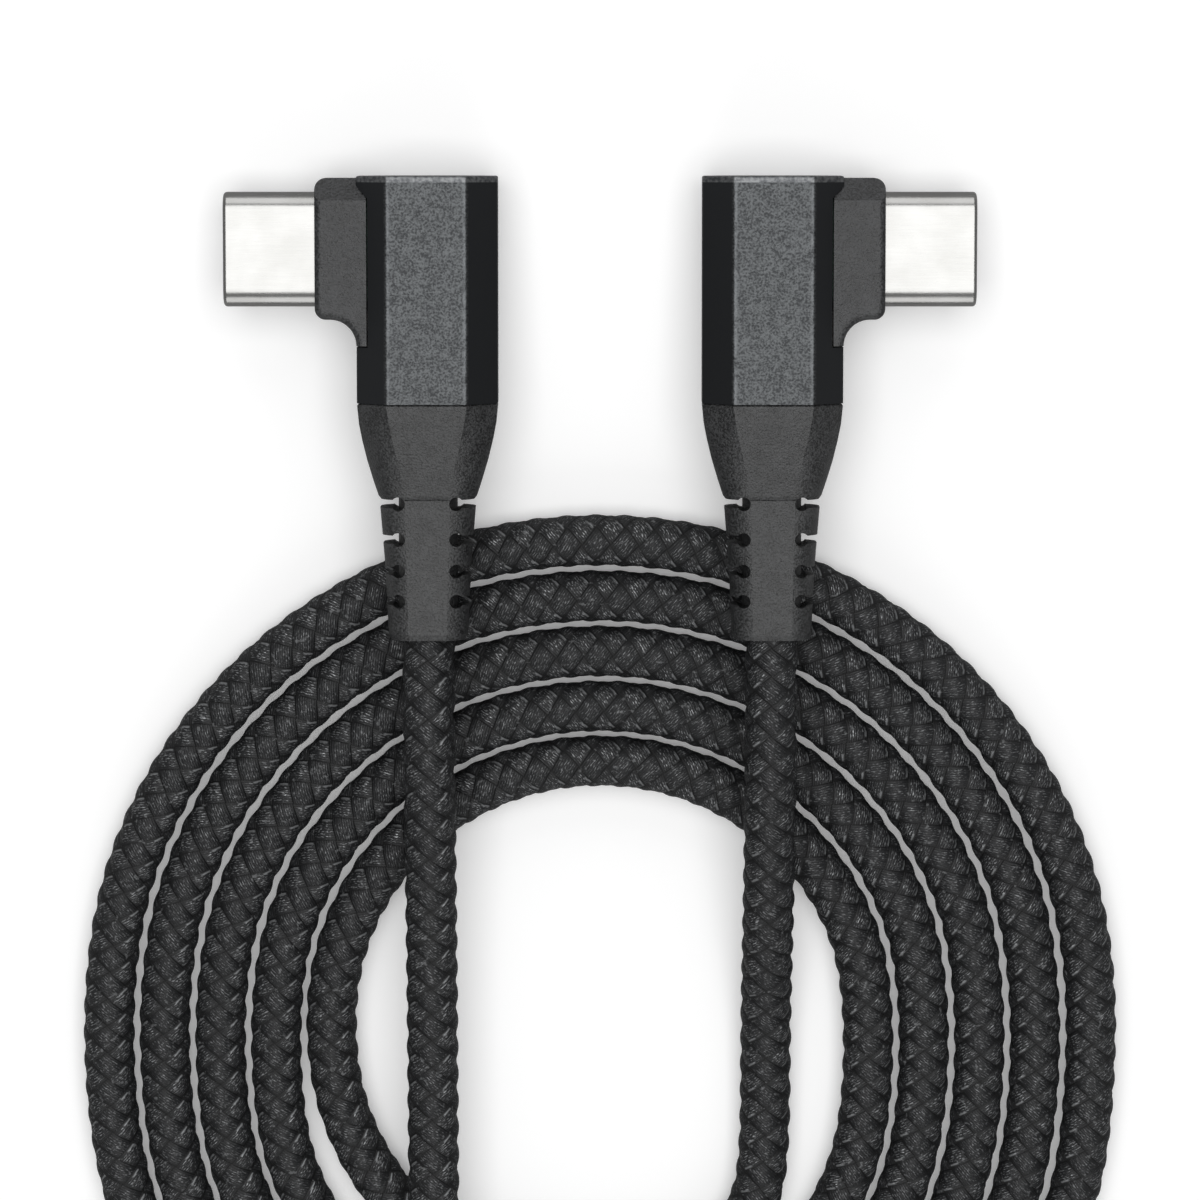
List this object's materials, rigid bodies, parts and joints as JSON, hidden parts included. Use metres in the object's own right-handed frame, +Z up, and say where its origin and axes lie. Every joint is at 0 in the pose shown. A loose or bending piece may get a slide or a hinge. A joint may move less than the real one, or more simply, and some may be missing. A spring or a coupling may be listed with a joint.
{
  "type": "charging cable",
  "caption": "Braided black charging cable in a flat round coil, with a right-angle metal-cased reversible plug on each end.",
  "frame": {"origin": "centre of the two plugs' footprint, on the surface that the cable lies on", "axes": "+X from the left plug to the right plug, +Y from the coil towards the plugs, +Z up from the surface"},
  "size_m": [0.0778, 0.1109, 0.0102],
  "materials": {
    "nickel_shell": "bright nickel plate with fine brushing",
    "carrier_plastic": "black moulded plastic",
    "contact_gold": "gold-plated copper alloy",
    "spring_steel": "spring steel strip",
    "board_laminate": "green laminate",
    "chip_plastic": "moulded chip body",
    "capacitor_ceramic": "fired ceramic",
    "can_steel": "tinned pressed steel",
    "wire_insulation": "coloured wire insulation",
    "clear_mould": "milky moulded plastic",
    "ferrule_steel": "crimped steel",
    "nose_plastic": "satin black moulding",
    "housing_metal": "dark anodised aluminium with a fine speckle",
    "boot_rubber": "fine-grained black elastomer",
    "braid": "black braided nylon yarn with fine glints"
  },
  "bodies": {
    "cable": {"left_shell": "nickel_shell", "left_contact_carrier": "carrier_plastic", "left_contact_tails": "contact_gold", "left_latch_plate": "spring_steel", "left_circuit_board": "board_laminate", "left_marker_chip": "chip_plastic", "left_capacitors": "capacitor_ceramic", "left_upper_shield": "can_steel", "left_lower_shield": "can_steel", "left_wires": "wire_insulation", "left_inner_mould": "clear_mould", "left_crimp_ferrule": "ferrule_steel", "left_cord_stub": "braid", "left_nose": "nose_plastic", "left_housing": "housing_metal", "left_end_cap": "housing_metal", "left_boot": "boot_rubber", "right_shell": "nickel_shell", "right_contact_carrier": "carrier_plastic", "right_contact_tails": "contact_gold", "right_latch_plate": "spring_steel", "right_circuit_board": "board_laminate", "right_marker_chip": "chip_plastic", "right_capacitors": "capacitor_ceramic", "right_upper_shield": "can_steel", "right_lower_shield": "can_steel", "right_wires": "wire_insulation", "right_inner_mould": "clear_mould", "right_crimp_ferrule": "ferrule_steel", "right_cord_stub": "braid", "right_nose": "nose_plastic", "right_housing": "housing_metal", "right_end_cap": "housing_metal", "right_boot": "boot_rubber", "coil": "braid", "left_lead": "braid", "right_lead": "braid"},
    "left_upper_contacts": {"left_upper_contacts": "contact_gold"},
    "left_lower_contacts": {"left_lower_contacts": "contact_gold"},
    "left_far_latch_arm": {"left_far_latch_arm": "spring_steel"},
    "left_near_latch_arm": {"left_near_latch_arm": "spring_steel"},
    "right_upper_contacts": {"right_upper_contacts": "contact_gold"},
    "right_lower_contacts": {"right_lower_contacts": "contact_gold"},
    "right_far_latch_arm": {"right_far_latch_arm": "spring_steel"},
    "right_near_latch_arm": {"right_near_latch_arm": "spring_steel"}
  },
  "joints": [
    {"name": "left_upper_contacts_flex", "type": "hinge", "parent": "cable", "child": "left_upper_contacts", "pos_m": [-0.02115, 0.01142, 0.00458], "axis": [0, 0.9921, -0.1253], "range_deg": [0, 2], "stiffness_Nm_per_rad": 0.02},
    {"name": "left_lower_contacts_flex", "type": "hinge", "parent": "cable", "child": "left_lower_contacts", "pos_m": [-0.02115, 0.0113, 0.00366], "axis": [0, -0.9921, 0.1253], "range_deg": [0, 2], "stiffness_Nm_per_rad": 0.02},
    {"name": "left_far_latch_arm_flex", "type": "hinge", "parent": "cable", "child": "left_far_latch_arm", "pos_m": [-0.02115, 0.01485, 0.00368], "axis": [0, -0.1253, -0.9921], "range_deg": [0, 2], "stiffness_Nm_per_rad": 0.02},
    {"name": "left_near_latch_arm_flex", "type": "hinge", "parent": "cable", "child": "left_near_latch_arm", "pos_m": [-0.02115, 0.00787, 0.00456], "axis": [0, 0.1253, 0.9921], "range_deg": [0, 2], "stiffness_Nm_per_rad": 0.02},
    {"name": "right_upper_contacts_flex", "type": "hinge", "parent": "cable", "child": "right_upper_contacts", "pos_m": [0.02115, 0.01142, 0.00458], "axis": [0, -0.9921, 0.1253], "range_deg": [0, 2], "stiffness_Nm_per_rad": 0.02},
    {"name": "right_lower_contacts_flex", "type": "hinge", "parent": "cable", "child": "right_lower_contacts", "pos_m": [0.02115, 0.0113, 0.00366], "axis": [0, 0.9921, -0.1253], "range_deg": [0, 2], "stiffness_Nm_per_rad": 0.02},
    {"name": "right_far_latch_arm_flex", "type": "hinge", "parent": "cable", "child": "right_far_latch_arm", "pos_m": [0.02115, 0.01485, 0.00368], "axis": [0, 0.1253, 0.9921], "range_deg": [0, 2], "stiffness_Nm_per_rad": 0.02},
    {"name": "right_near_latch_arm_flex", "type": "hinge", "parent": "cable", "child": "right_near_latch_arm", "pos_m": [0.02115, 0.00787, 0.00456], "axis": [0, -0.1253, -0.9921], "range_deg": [0, 2], "stiffness_Nm_per_rad": 0.02}
  ]
}
